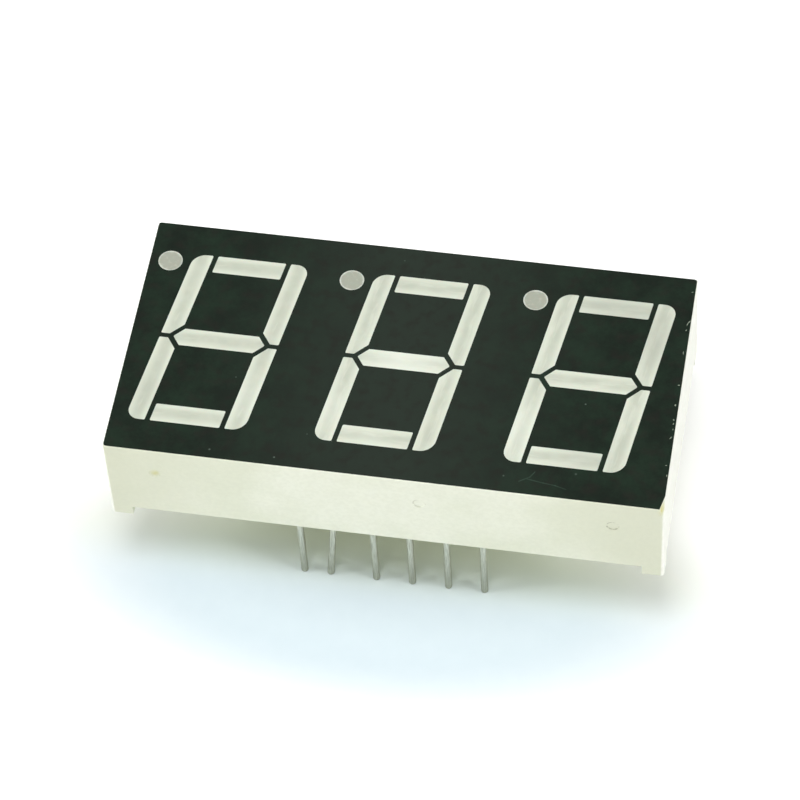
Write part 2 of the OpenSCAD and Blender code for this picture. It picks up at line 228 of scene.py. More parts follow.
def spot(tree, place, point, radius):
    """1 at a point, falling softly to 0 at radius."""
    gap = add(tree, "VectorMath", {0: place, 1: point}, operation="DISTANCE")
    return add(tree, "MapRange", {"Value": gap, "From Max": radius, **FADING}, **SOFT)


def scratch(tree, place, start, end, width):
    """1 along the straight line between two points, falling softly to 0 at width from it.

    The nearest point of the line is its start plus the share of the line that the shaded point's shadow
    reaches, held between 0 and 1.
    """
    line = end - start
    from_start = add(tree, "VectorMath", {0: place, 1: start}, operation="SUBTRACT")
    share = add(tree, "VectorMath",
                {0: from_start, 1: line / line.length_squared}, operation="DOT_PRODUCT")
    share = add(tree, "Math", {0: share, 1: 0.0}, operation="MAXIMUM")
    share = add(tree, "Math", {0: share, 1: 1.0}, operation="MINIMUM")
    along = add(tree, "VectorMath", {0: line, "Scale": share}, operation="SCALE")
    gap = add(tree, "VectorMath", {0: from_start, 1: along}, operation="DISTANCE")
    return add(tree, "MapRange", {"Value": gap, "From Max": width, **FADING}, **SOFT)


def off_middle(tree, place):
    """Distance of a point from the middle of the display along X."""
    x = add(tree, "SeparateXYZ", {0: place})
    return add(tree, "Math", {0: x}, operation="ABSOLUTE")


def in_second_digit(tree, x, heart):
    """X moved by whole steps of the digits' pitch into the second digit, so all three share its places."""
    half = DIGIT_PITCH / 2
    return add(tree, "Math", {0: x, 1: heart.x + half, 2: heart.x - half}, operation="WRAP")


def seen_directly(tree):
    """1 where the camera sees a point, straight or through a mirror or glass, and 0 for bounced light."""
    seen = add(tree, "LightPath")
    for ray in ("Is Glossy Ray", "Is Transmission Ray"):
        found = add(tree, "LightPath").node.outputs[ray]
        seen = add(tree, "Math", {0: seen, 1: found}, operation="MAXIMUM")
    return seen


def dress(items, material):
    """Gives CAD nodes or pieces one material."""
    for item in items:
        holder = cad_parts[item] if isinstance(item, str) else item
        holder.data.materials.clear()
        holder.data.materials.append(material)


def place_piece(name, points, faces, material):
    """Makes a piece from its points and faces at the origin, on the display's one body."""
    mesh = bpy.data.meshes.new(name)
    mesh.from_pydata(points.tolist(), [], faces)
    mesh.shade_smooth()
    mesh.validate()
    mesh.update()
    piece = bpy.data.objects.new(name, mesh)
    bpy.context.scene.collection.objects.link(piece)
    dress([piece], material)
    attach(piece, "root")
    return piece


def grid_faces(index, wrap_rows):
    """Quads of a grid of point numbers[row, column]. Its rows close round, and its columns where told."""
    first = index if wrap_rows else index[:-1]
    ahead = np.roll(index, -1, axis=0) if wrap_rows else index[1:]
    quads = np.stack([first, ahead, np.roll(ahead, -1, axis=1), np.roll(first, -1, axis=1)], axis=-1)
    return quads.reshape(-1, 4).tolist()


def creep_profile(reach, rise, sink, steps):
    """Cross-section of a meniscus as (distance out, height), closed.

    The free side is a parabola that is steep at what it climbs and flat at its toe; the hidden side is sunk.
    """
    share = np.linspace(1, 0, steps)
    free = np.stack([share * reach, rise * (1 - share) ** 2], axis=-1)
    hidden = np.array([[-sink, rise], [-sink, -sink], [reach, -sink]])
    return np.concatenate([free, hidden])


# Materials

def moulded_white_abs(colours):
    """White ABS, injection moulded in a fine spark-eroded tool.

    It gives the eye a warm, faintly green white with a satin sheen, painted shade that deepens the tone
    towards the ends of the long walls and a painted highlight that makes the end walls paler, with soft
    clouds of tone, a fine grain, yellowed spots at the gate and the nick, and a darker broken ring in the
    rims of the mould marks.
    """
    made, tree, place = new_material("moulded_white_abs")
    cloud = add(tree, "TexNoise", {"Vector": place, "Scale": per_mm(7.0), "Detail": 3.0})
    cloud = add(tree, "MapRange", {"Value": cloud, **NOISE_MIDDLE}, **SOFT)
    tone = add(tree, "Mix",
               {"Factor": cloud, "A": linear(colours.housing), "B": linear(colours.housing_pale)}, **COLOUR)
    aside = off_middle(tree, place)
    # Painted shade: a deeper tone towards the ends of the long walls, where less light falls on them
    shaded_ends = add(tree, "MapRange",
               {"Value": aside, "From Min": 8 * MM, "From Max": HOUSING_HIGH.x, "To Max": 0.85}, **SOFT)
    tone = add(tree, "Mix", {"Factor": shaded_ends, "A": tone, "B": linear(colours.housing_shaded_ends)}, **COLOUR)
    # Painted highlight: the end walls are painted paler than the long walls, as the lamps light them brightly
    end_from = INK_HIGH.x - 0.07 * MM
    end_full = INK_HIGH.x + 0.05 * MM
    lit_end_wall = add(tree, "MapRange", {"Value": aside, "From Min": end_from, "From Max": end_full}, **SOFT)
    tone = add(tree, "Mix", {"Factor": lit_end_wall, "A": tone, "B": linear(colours.housing_lit_end)}, **COLOUR)
    fine = add(tree, "TexNoise", {"Vector": place, "Scale": per_mm(0.3), "Detail": 2.0})
    speck = add(tree, "MapRange", {"Value": fine, **NOISE_SPAN, "To Max": 0.16}, **SOFT)
    tone = add(tree, "Mix", {"Factor": speck, "A": tone, "B": linear("#C9CDB8")}, **COLOUR)

    gate = (MARKS[0][0], HOUSING_HIGH.y, MARK_Z)
    nick = (HOUSING_LOW.x + 0.1 * MM, HOUSING_HIGH.y - 0.3 * MM, INK_HIGH.z - 0.35 * MM)
    for point, radius, strength in ((gate, 0.45 * MM, 1.5), (nick, 0.65 * MM, 2.4)):
        stain = spot(tree, place, point, radius)
        stain = add(tree, "Math", {0: stain, 1: fine}, operation="MULTIPLY")
        stain = add(tree, "Math", {0: stain, 1: strength}, operation="MULTIPLY")
        tone = add(tree, "Mix", {"Factor": stain, "A": tone, "B": linear(colours.yellowed)}, **COLOUR)

    # A darker broken ring in the rim of each mould mark
    broken = add(tree, "MapRange", {"Value": fine, "From Min": 0.38, "From Max": 0.6}, **SOFT)
    for x, held in MARKS:
        mark = (x, HOUSING_HIGH.y, MARK_Z)
        gap = add(tree, "VectorMath", {0: place, 1: mark}, operation="DISTANCE")
        off = add(tree, "Math", {0: gap, 1: MARK_R}, operation="SUBTRACT")
        off = add(tree, "Math", {0: off}, operation="ABSOLUTE")
        rim = add(tree, "MapRange",
                  {"Value": off, "From Max": 0.08 * MM, "To Min": held, "To Max": 0.0}, **SOFT)
        rim = add(tree, "Math", {0: rim, 1: broken}, operation="MULTIPLY")
        tone = add(tree, "Mix", {"Factor": rim, "A": tone, "B": linear(colours.mark_rim_tone)}, **COLOUR)

    satin = add(tree, "TexNoise", {"Vector": place, "Scale": per_mm(1.2), "Detail": 3.0})
    satin = add(tree, "MapRange", {"Value": satin, **NOISE_SPAN, "To Min": 0.4, "To Max": 0.52}, **SOFT)
    corner = (HOUSING_LOW.x, HOUSING_HIGH.y, HOUSING_HIGH.z)
    torn = spot(tree, place, corner, 1.6 * MM)
    torn = add(tree, "Math", {0: torn, 1: fine}, operation="MULTIPLY")
    grain = add(tree, "TexNoise", {"Vector": place, "Scale": per_mm(0.09), "Detail": 2.0})
    grain = add(tree, "Math", {0: grain, 1: 0.12, 2: torn}, operation="MULTIPLY_ADD")
    skin = add(tree, "Bump", {"Height": grain, "Distance": 0.05 * MM})
    surface = add(tree, "BsdfPrincipled",
                  {"Base Color": tone, "Roughness": satin, "IOR": 1.53, "Normal": skin,
                   "Subsurface Weight": 0.12, "Subsurface Scale": 0.5 * MM,
                   "Subsurface Radius": (1.0, 0.9, 0.7)})
    add(tree, "OutputMaterial", {"Surface": surface})
    return made


def printed_matt_ink(colours):
    """Two-part epoxy ink, screen printed and baked matt.

    It gives the eye a greenish black, a shade paler in the middle as a painted sheen where the lamps'
    reflection falls, with faint clouds from the mesh, a few pale grains of dust and one forked hair scratch.
    """
    made, tree, place = new_material("printed_matt_ink")
    cloud = add(tree, "TexNoise",
                {"Vector": place, "Scale": per_mm(2.6), "Detail": 5.0, "Roughness": 0.7})
    cloud = add(tree, "MapRange", {"Value": cloud, "From Min": 0.32, "From Max": 0.68}, **SOFT)
    tone = add(tree, "Mix",
               {"Factor": cloud, "A": linear(colours.ink), "B": linear(colours.ink_pale)}, **COLOUR)
    aside = off_middle(tree, place)
    # Painted sheen: paler ink towards the middle of the face, standing in for the lamps' reflection
    painted_sheen = add(tree, "MapRange",
                 {"Value": aside, "From Max": 15 * MM, "To Min": 0.85, "To Max": 0.0}, **SOFT)
    tone = add(tree, "Mix", {"Factor": painted_sheen, "A": tone, "B": linear(colours.ink_painted_sheen)}, **COLOUR)
    warm = add(tree, "TexNoise", {"Vector": place, "Scale": per_mm(0.9), "Detail": 2.0})
    warm = add(tree, "MapRange",
               {"Value": warm, "From Min": 0.45, "From Max": 0.75, "To Max": 0.4}, **SOFT)
    tone = add(tree, "Mix", {"Factor": warm, "A": tone, "B": linear("#221E1B")}, **COLOUR)

    # Grains of dust, as x, y, radius and strength in millimetres
    grains = (
        (11.62, 8.82, 0.11, 0.45), (7.24, 8.86, 0.1, 0.6), (-8.03, 8.24, 0.1, 0.35),
        (-12.73, 7.47, 0.12, 0.3), (-12.61, 1.83, 0.09, 0.6), (10.98, 2.8, 0.08, 0.3),
        (5.4, 6.73, 0.08, 0.25), (1.3, -8.4, 0.08, 0.25),
    )
    for x, y, radius, strength in grains:
        grain = spot(tree, place, (x * MM, y * MM, INK_HIGH.z), radius * MM)
        grain = add(tree, "Math", {0: grain, 1: strength}, operation="MULTIPLY")
        tone = add(tree, "Mix", {"Factor": grain, "A": tone, "B": linear("#75857A")}, **COLOUR)

    # The forked scratch, as the corners of its two lines in millimetres
    half_width = 0.06 * MM
    patchy = add(tree, "TexNoise", {"Vector": place, "Scale": per_mm(0.5), "Detail": 1.0})
    patchy = add(tree, "MapRange",
                 {"Value": patchy, "From Min": 0.25, "From Max": 0.7, "To Min": 0.08, "To Max": 0.16}, **SOFT)
    for corners in (((-9.09, 8.54), (-9.77, 8.11), (-10.04, 7.67)),
                    ((-9.6, 8.29), (-10.69, 8.46), (-11.5, 8.56), (-12.23, 8.76))):
        ends = [Vector((x * MM, y * MM, INK_HIGH.z)) for x, y in corners]
        for start, end in zip(ends, ends[1:]):
            line = scratch(tree, place, start, end, half_width)
            line = add(tree, "Math", {0: line, 1: patchy}, operation="MULTIPLY")
            tone = add(tree, "Mix", {"Factor": line, "A": tone, "B": linear("#6F8C7C")}, **COLOUR)

    baked = add(tree, "TexNoise", {"Vector": place, "Scale": per_mm(1.8), "Detail": 3.0})
    baked = add(tree, "MapRange", {"Value": baked, **NOISE_SPAN, "To Min": 0.5, "To Max": 0.62}, **SOFT)
    grain = add(tree, "TexNoise", {"Vector": place, "Scale": per_mm(0.14), "Detail": 2.0})
    skin = add(tree, "Bump", {"Height": grain, "Distance": 0.004 * MM})
    surface = add(tree, "BsdfPrincipled",
                  {"Base Color": tone, "Roughness": baked, "Normal": skin, "Specular IOR Level": 0.1})
    add(tree, "OutputMaterial", {"Surface": surface})
    return made


def local_stroke(tree, place, stroke, slant):
    """(along, across, digit's own place) of a point, measured in its own stroke in each of the three digits.

    An upright stroke leans: its axis is where X less Y times the slope is constant.
    """
    heart = middle(f"digit_2_{stroke}")
    parted = add(tree, "SeparateXYZ", {0: place})
    wrapped = in_second_digit(tree, parted, heart)
    own = add(tree, "Math", {0: parted, 1: wrapped}, operation="SUBTRACT")
    x = add(tree, "Math", {0: wrapped, 1: heart.x}, operation="SUBTRACT")
    y = add(tree, "Math", {0: parted.node.outputs["Y"], 1: heart.y}, operation="SUBTRACT")
    if stroke[-1] in UPRIGHTS:
        upright = add(tree, "Math", {0: y, 1: -math.tan(slant), 2: x}, operation="MULTIPLY_ADD")
        return y, upright, own
    return x, y, own


def cast_resin(tree, place, tone, cloud):
    """Ends a material as cast epoxy, whose gloss follows a cloud and whose skin is faintly dimpled."""
    gloss = add(tree, "MapRange", {"Value": cloud, **NOISE_SPAN, "To Min": 0.34, "To Max": 0.46}, **SOFT)
    sunk = add(tree, "TexNoise", {"Vector": place, "Scale": per_mm(0.5), "Detail": 2.0})
    skin = add(tree, "Bump", {"Height": sunk, "Distance": 0.01 * MM})
    surface = add(tree, "BsdfPrincipled",
                  {"Base Color": tone, "Roughness": gloss, "IOR": 1.52, "Normal": skin,
                   "Specular IOR Level": 0.4, "Subsurface Weight": 0.1, "Subsurface Scale": 0.5 * MM})
    add(tree, "OutputMaterial", {"Surface": surface})


def diffused_resin(stroke, colours, sizes):
    """Epoxy clouded with a white diffuser, cast flush in a reflecting well.

    It gives the eye a milky grey white: brightest along the rim, where the well's wall lies close behind,
    with soft streaks along the stroke over its deep middle, and paler or duller patches at a few strokes,
    which are partly the resin's own and partly painted highlight in the middle and painted shade towards the
    ends.
    """
    made, tree, place = new_material(f"diffused_resin_{stroke}")
    along, across, own = local_stroke(tree, place, stroke, sizes.slant)
    edge = add(tree, "Math", {0: across}, operation="ABSOLUTE")
    edge = add(tree, "Math", {0: edge, 1: sizes.stroke_half}, operation="DIVIDE")
    drawn_out = add(tree, "Math", {0: along, 1: 0.16}, operation="MULTIPLY")
    flow = add(tree, "CombineXYZ", {"X": drawn_out, "Y": across, "Z": own})
    streak = add(tree, "TexNoise",
                 {"Vector": flow, "Scale": per_mm(0.42), "Detail": 3.0, "Roughness": 0.6})
    drift = add(tree, "Math", {0: streak, 1: 0.5, 2: edge}, operation="MULTIPLY_ADD")
    core = add(tree, "MapRange", {"Value": drift, "From Min": 0.35, "From Max": 1.2, **FADING}, **SOFT)
    veil = add(tree, "TexNoise", {"Vector": place, "Scale": per_mm(1.3), "Detail": 2.0})
    thin = add(tree, "MapRange",
               {"Value": veil, "From Min": 0.3, "From Max": 0.65, "To Min": 0.65, "To Max": 0.95}, **SOFT)
    core = add(tree, "Math", {0: core, 1: thin}, operation="MULTIPLY")
    tone = add(tree, "Mix",
               {"Factor": core, "A": linear(colours.resin_rim), "B": linear(colours.resin_core)}, **COLOUR)
    gleam = add(tree, "MapRange",
                {"Value": streak, "From Min": 0.5, "From Max": 0.72, "To Max": 0.4}, **SOFT)
    tone = add(tree, "Mix", {"Factor": gleam, "A": tone, "B": linear("#E6EADA")}, **COLOUR)
    # Paler and duller patches: partly the resin's own unevenness, partly painted highlight in the middle and
    # painted shade towards the ends
    for patches, shade in ((MILKY_AND_HIGHLIT, "#F8FDF0"), (DULL_AND_SHADED, "#AEB2A5")):
        for x, y, reach, strength in patches:
            patch = spot(tree, place, (x * MM, y * MM, INK_HIGH.z), reach * MM)
            patch = add(tree, "Math", {0: patch, 1: strength}, operation="MULTIPLY")
            tone = add(tree, "Mix", {"Factor": patch, "A": tone, "B": linear(shade)}, **COLOUR)
    cast_resin(tree, place, tone, veil)
    return made


def point_resin(colours):
    """The same clouded epoxy in the narrow round wells: greyer, because less white wall lies behind it."""
    made, tree, place = new_material("diffused_resin_point")
    heart = middle("digit_2_point")
    x = add(tree, "SeparateXYZ", {0: place})
    wrapped = in_second_digit(tree, x, heart)
    flat = add(tree, "CombineXYZ", {"X": wrapped, "Y": x.node.outputs["Y"], "Z": heart.z})
    radius = add(tree, "VectorMath", {0: flat, 1: heart}, operation="DISTANCE")
    cloud = add(tree, "TexNoise", {"Vector": place, "Scale": per_mm(0.45), "Detail": 3.0})
    blur = add(tree, "Math", {0: cloud, 1: 0.3 * MM, 2: radius}, operation="MULTIPLY_ADD")
    core = add(tree, "MapRange",
               {"Value": blur, "From Min": 0.84 * MM, "From Max": 1.03 * MM, **FADING}, **SOFT)
    tone = add(tree, "Mix",
               {"Factor": core, "A": linear("#DCDFD3"), "B": linear(colours.point_core)}, **COLOUR)
    milk = add(tree, "TexNoise", {"Vector": place, "Scale": per_mm(0.25), "Detail": 3.0})
    milk = add(tree, "MapRange",
               {"Value": milk, "From Min": 0.5, "From Max": 0.75, "To Max": 0.3}, **SOFT)
    tone = add(tree, "Mix", {"Factor": milk, "A": tone, "B": linear("#CCD0C2")}, **COLOUR)
    cast_resin(tree, place, tone, cloud)
    return made


def potting_epoxy(colours):
    """Milky epoxy poured over the back of the board and cured glossy.

    It gives the eye a creamy, slightly wavy gloss, with the grey solder showing faintly through its half
    millimetre round each pin, and a few small bubbles.
    """
    made, tree, place = new_material("potting_epoxy")
    cloud = add(tree, "TexNoise", {"Vector": place, "Scale": per_mm(5.0), "Detail": 3.0})
    cloud = add(tree, "MapRange", {"Value": cloud, **NOISE_SPAN}, **SOFT)
    tone = add(tree, "Mix",
               {"Factor": cloud, "A": linear(colours.potting), "B": linear("#CFCFAF")}, **COLOUR)

    # Distance from the nearest pin: in a row the pins repeat at their pitch, and the rows mirror each other
    x = add(tree, "SeparateXYZ", {0: place})
    off_x = add(tree, "Math", {0: x, 1: PIN_PITCH / 2}, operation="PINGPONG")
    off_x = add(tree, "Math", {0: off_x, 1: PIN_PITCH / 2}, operation="SUBTRACT")
    off_y = add(tree, "Math", {0: x.node.outputs["Y"]}, operation="ABSOLUTE")
    off_y = add(tree, "Math", {0: off_y, 1: ROW_Y}, operation="SUBTRACT")
    flat = add(tree, "CombineXYZ", {"X": off_x, "Y": off_y})
    radius = add(tree, "VectorMath", {0: flat}, operation="LENGTH")
    solder = add(tree, "MapRange",
                 {"Value": radius, "From Min": 0.45 * MM, "From Max": 0.95 * MM,
                  "To Min": 0.6, "To Max": 0.0}, **SOFT)
    half_row = 3 * PIN_PITCH
    in_row = add(tree, "Math", {0: off_middle(tree, place), 1: half_row}, operation="LESS_THAN")
    solder = add(tree, "Math", {0: solder, 1: in_row}, operation="MULTIPLY")
    tone = add(tree, "Mix", {"Factor": solder, "A": tone, "B": linear("#9FA097")}, **COLOUR)

    bubble = add(tree, "TexVoronoi", {"Vector": place, "Scale": per_mm(2.3)})
    bubble = add(tree, "MapRange",
                 {"Value": bubble, "From Min": 0.05, "From Max": 0.1, "To Min": 0.35, "To Max": 0.0}, **SOFT)
    tone = add(tree, "Mix", {"Factor": bubble, "A": tone, "B": linear("#F3F1E2")}, **COLOUR)

    gloss = add(tree, "TexNoise", {"Vector": place, "Scale": per_mm(3.0), "Detail": 3.0})
    gloss = add(tree, "MapRange", {"Value": gloss, **NOISE_SPAN, "To Min": 0.12, "To Max": 0.24}, **SOFT)
    wave = add(tree, "TexNoise", {"Vector": place, "Scale": per_mm(2.4), "Detail": 1.0})
    wave = add(tree, "Math", {0: wave, 1: bubble}, operation="ADD")
    skin = add(tree, "Bump", {"Height": wave, "Distance": 0.05 * MM})
    surface = add(tree, "BsdfPrincipled",
                  {"Base Color": tone, "Roughness": gloss, "IOR": 1.54, "Normal": skin,
                   "Subsurface Weight": 0.15, "Subsurface Scale": 0.6 * MM})
    add(tree, "OutputMaterial", {"Surface": surface})
    return made


def tinned_wire():
    """Hard copper wire, drawn round and tinned.

    It gives the eye a pale, warm grey metal with fine lines along it, darker and duller towards the tip.
    """
    made, tree, place = new_material("tinned_wire")
    x = add(tree, "SeparateXYZ", {0: place})
    height = x.node.outputs["Z"]
    drawn_out = add(tree, "Math", {0: height, 1: 0.05}, operation="MULTIPLY")
    drawn = add(tree, "CombineXYZ", {"X": x, "Y": x.node.outputs["Y"], "Z": drawn_out})
    lines = add(tree, "TexNoise", {"Vector": drawn, "Scale": per_mm(0.06), "Detail": 3.0})
    streaks = add(tree, "MapRange", {"Value": lines, **NOISE_MIDDLE}, **SOFT)
    tone = add(tree, "Mix", {"Factor": streaks, "A": linear("#D8D8C7"), "B": linear("#B7B6A5")}, **COLOUR)
    # A darker grey towards the tip
    darker_up_to = PIN_TIP_Z + 6 * MM
    darker_near_tip = add(tree, "MapRange",
               {"Value": height, "From Min": PIN_TIP_Z, "From Max": darker_up_to, "To Min": 0.5, "To Max": 0.0},
               **SOFT)
    tone = add(tree, "Mix", {"Factor": darker_near_tip, "A": tone, "B": linear("#84867B")}, **COLOUR)
    satin = add(tree, "TexNoise", {"Vector": place, "Scale": per_mm(0.5), "Detail": 3.0})
    satin = add(tree, "MapRange", {"Value": satin, **NOISE_SPAN, "To Min": 0.3, "To Max": 0.46}, **SOFT)
    skin = add(tree, "Bump", {"Height": lines, "Distance": 0.006 * MM})
    surface = add(tree, "BsdfPrincipled",
                  {"Base Color": tone, "Roughness": satin, "Normal": skin, **METAL})
    add(tree, "OutputMaterial", {"Surface": surface})
    return made


def board_laminate():
    """Glass fibre laminate, pressed and lacquered: a pale yellow board with faint fibres along it."""
    made, tree, place = new_material("board_laminate")
    x = add(tree, "SeparateXYZ", {0: place})
    drawn_out = add(tree, "Math", {0: x, 1: 0.12}, operation="MULTIPLY")
    fibres = add(tree, "CombineXYZ", {"X": drawn_out, "Y": x.node.outputs["Y"], "Z": x.node.outputs["Z"]})
    weave = add(tree, "TexNoise", {"Vector": fibres, "Scale": per_mm(0.18), "Detail": 4.0})
    shade = add(tree, "MapRange", {"Value": weave, **NOISE_MIDDLE}, **SOFT)
    tone = add(tree, "Mix", {"Factor": shade, "A": linear("#D1C99E"), "B": linear("#BDB486")}, **COLOUR)
    lacquer = add(tree, "MapRange", {"Value": weave, **NOISE_SPAN, "To Min": 0.35, "To Max": 0.5}, **SOFT)
    skin = add(tree, "Bump", {"Height": weave, "Distance": 0.01 * MM})
    surface = add(tree, "BsdfPrincipled",
                  {"Base Color": tone, "Roughness": lacquer, "IOR": 1.55, "Normal": skin})
    add(tree, "OutputMaterial", {"Surface": surface})
    return made


def grained(name, light, dark, grain_mm, rough, depth_mm, detail, substance):
    """A surface with a soft grain of two tones, and a roughness and relief that follow the grain.

    Rough is the least and greatest roughness, and substance holds the inputs that are the material's own.
    """
    made, tree, place = new_material(name)
    grain = add(tree, "TexNoise", {"Vector": place, "Scale": per_mm(grain_mm), "Detail": detail})
    shade = add(tree, "MapRange", {"Value": grain, **NOISE_MIDDLE}, **SOFT)
    tone = add(tree, "Mix", {"Factor": shade, "A": linear(light), "B": linear(dark)}, **COLOUR)
    satin = add(tree, "MapRange",
                {"Value": grain, **NOISE_SPAN, "To Min": rough[0], "To Max": rough[1]}, **SOFT)
    skin = add(tree, "Bump", {"Height": grain, "Distance": depth_mm * MM})
    surface = add(tree, "BsdfPrincipled",
                  {"Base Color": tone, "Roughness": satin, "Normal": skin, **substance})
    add(tree, "OutputMaterial", {"Surface": surface})
    return made


def etched_copper():
    """Copper foil, etched and brushed clean: orange metal with darker tarnish."""
    return grained("etched_copper", "#D9966A", "#A8683F", 0.6, (0.25, 0.42), 0.003, 4.0, METAL)


def wave_solder():
    """Tin solder, set in a wave bath: bright grey cones with a faintly frosted skin."""
    return grained("wave_solder", "#D3D5D4", "#B4B7B7", 0.12, (0.16, 0.36), 0.008, 4.0, METAL)


def drawn_gold_wire():
    """Drawn gold: bright yellow wires with a faint grain."""
    return grained("drawn_gold_wire", "#F0CF7C", "#D9B057", 0.02, (0.16, 0.28), 0.001, 4.0, METAL)


def broken_white_abs():
    """Broken white ABS with specks of ink on it: greyer and rougher than the moulded skin."""
    return grained("broken_white_abs", "#5C685A", "#97A18E", 0.08, (0.5, 0.7), 0.01, 3.0, {"IOR": 1.53})


def led_die():
    """Sawn semiconductor die: a dark amber, glassy cube with level saw lines round its sides."""
    made, tree, place = new_material("led_die")
    height = add(tree, "SeparateXYZ", {0: place}).node.outputs["Z"]
    sawn = add(tree, "CombineXYZ", {"Z": height})
    lines = add(tree, "TexNoise", {"Vector": sawn, "Scale": per_mm(0.02), "Detail": 2.0})
    shade = add(tree, "MapRange", {"Value": lines, **NOISE_MIDDLE}, **SOFT)
    tone = add(tree, "Mix", {"Factor": shade, "A": linear("#7C5A3C"), "B": linear("#5E4230")}, **COLOUR)
    glassy = add(tree, "MapRange", {"Value": lines, **NOISE_SPAN, "To Min": 0.18, "To Max": 0.34}, **SOFT)
    surface = add(tree, "BsdfPrincipled", {"Base Color": tone, "Roughness": glassy, "IOR": 3.0})
    add(tree, "OutputMaterial", {"Surface": surface})
    return made


# Operators

class FinishHousing(bpy.types.Operator):
    """Gives the white moulding its satin, spark-eroded finish"""

    bl_idname = "display_looks.finish_housing"
    bl_label = "Finish the housing"

    def execute(self, context):
        dress(["housing"], moulded_white_abs(context.scene.display_colours))
        return {"FINISHED"}


class FinishInk(bpy.types.Operator):
    """Gives the face its matt printed ink, with its dust and scratch"""

    bl_idname = "display_looks.finish_ink"
    bl_label = "Finish the ink"

    def execute(self, context):
        dress(["face_ink"], printed_matt_ink(context.scene.display_colours))
        return {"FINISHED"}


class FinishStrokes(bpy.types.Operator):
    """Gives every stroke and decimal point its clouded resin"""

    bl_idname = "display_looks.finish_strokes"
    bl_label = "Finish the strokes and points"

    def execute(self, context):
        scene = context.scene
        for letter in LEVELS + UPRIGHTS:
            stroke = f"segment_{letter}"
            resin = diffused_resin(stroke, scene.display_colours, scene.display_sizes)
            dress(nodes_ending(stroke), resin)
        dress(nodes_ending("_point"), point_resin(scene.display_colours))
        return {"FINISHED"}


class FinishBoard(bpy.types.Operator):
    """Gives the circuit board, its copper, solder, chips and bond wires their finishes"""

    bl_idname = "display_looks.finish_board"
    bl_label = "Finish the circuit board"

    def execute(self, context):
        dress(["circuit_board"], board_laminate())
        dress(["front_pads", "rear_lands"], etched_copper())
        dress(["solder_joints"], wave_solder())
        dress(nodes_ending("_bond_wires"), drawn_gold_wire())
        dress(nodes_ending("_led_chips"), led_die())
        return {"FINISHED"}


class FinishPins(bpy.types.Operator):
    """Gives the twelve pins their drawn and tinned finish"""

    bl_idname = "display_looks.finish_pins"
    bl_label = "Finish the pins"

    def execute(self, context):
        dress(PIN_NODES, tinned_wire())
        return {"FINISHED"}


class PourRearResin(bpy.types.Operator):
    """Finishes the rear resin and adds its menisci at the walls and round the pins"""

    bl_idname = "display_looks.pour_rear_resin"
    bl_label = "Pour the rear resin"

    # Points round a meniscus and down its free side, how deep it is sunk in what it joins, the inner radius
    # of the housing's corners, and the power that squares a pin's root
    turns = 48
    steps = 7
    sink = 0.02 * MM
    corner_r = 0.2 * MM
    squareness = 8

    def execute(self, context):
        sizes = context.scene.display_sizes
        epoxy = potting_epoxy(context.scene.display_colours)
        dress(["rear_resin"], epoxy)
        rings = {f"{name}_meniscus": self.round_pin(name, sizes) for name in PIN_NODES}
        rings["wall_meniscus"] = self.along_walls(sizes)
        for name, points in rings.items():
            index = np.arange(points.shape[0] * points.shape[1]).reshape(points.shape[:2])
            place_piece(name, points.reshape(-1, 3), grid_faces(index, True), epoxy)
        return {"FINISHED"}

    def round_pin(self, name, sizes):
        """A meniscus round a pin's square root.

        The root's outline is the curve where the eighth powers of X and Y, as shares of half the root's side,
        add up to one. Each point of the cross-section follows that curve at its own distance outwards.
        """
        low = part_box(name)[0]
        heart_x = low.x + sizes.root_half
        heart_y = low.y + sizes.root_half
        turn = np.linspace(0, 2 * math.pi, self.turns, endpoint=False)
        side = np.stack([np.cos(turn), np.sin(turn)], axis=-1)
        root = sizes.root_half / (np.abs(side) ** self.squareness).sum(axis=-1) ** (1 / self.squareness)
        profile = creep_profile(sizes.creep_reach, sizes.creep_rise, self.sink, self.steps)
        radius = root[:, None] + profile[None, :, 0]
        height = np.broadcast_to(RESIN_LOW.z - profile[None, :, 1], radius.shape)
        x = heart_x + radius * side[:, None, 0]
        y = heart_y + radius * side[:, None, 1]
        return np.stack([x, y, height], axis=-1)

    def along_walls(self, sizes):
        """A meniscus along the four walls.

        It is a rounded rectangle that shrinks with the distance from the walls, while its corner radius grows
        by the same distance.
        """
        profile = creep_profile(sizes.creep_reach, sizes.creep_rise, self.sink, self.steps)
        distance = profile[None, :, 0]
        half = (RESIN_HIGH - RESIN_LOW) / 2
        heart = (RESIN_HIGH + RESIN_LOW) / 2
        turn = np.linspace(0, 2 * math.pi, self.turns, endpoint=False) + math.pi / self.turns
        side = np.stack([np.cos(turn), np.sin(turn)], axis=-1)[:, None, :]
        radius = self.corner_r + distance
        centre_x = np.sign(side[..., 0]) * (half.x - distance - radius)
        centre_y = np.sign(side[..., 1]) * (half.y - distance - radius)
        height = np.broadcast_to(RESIN_LOW.z - profile[None, :, 1], centre_x.shape)
        x = heart.x + centre_x + radius * side[..., 0]
        y = heart.y + centre_y + radius * side[..., 1]
        return np.stack([x, y, height], axis=-1)[::-1]


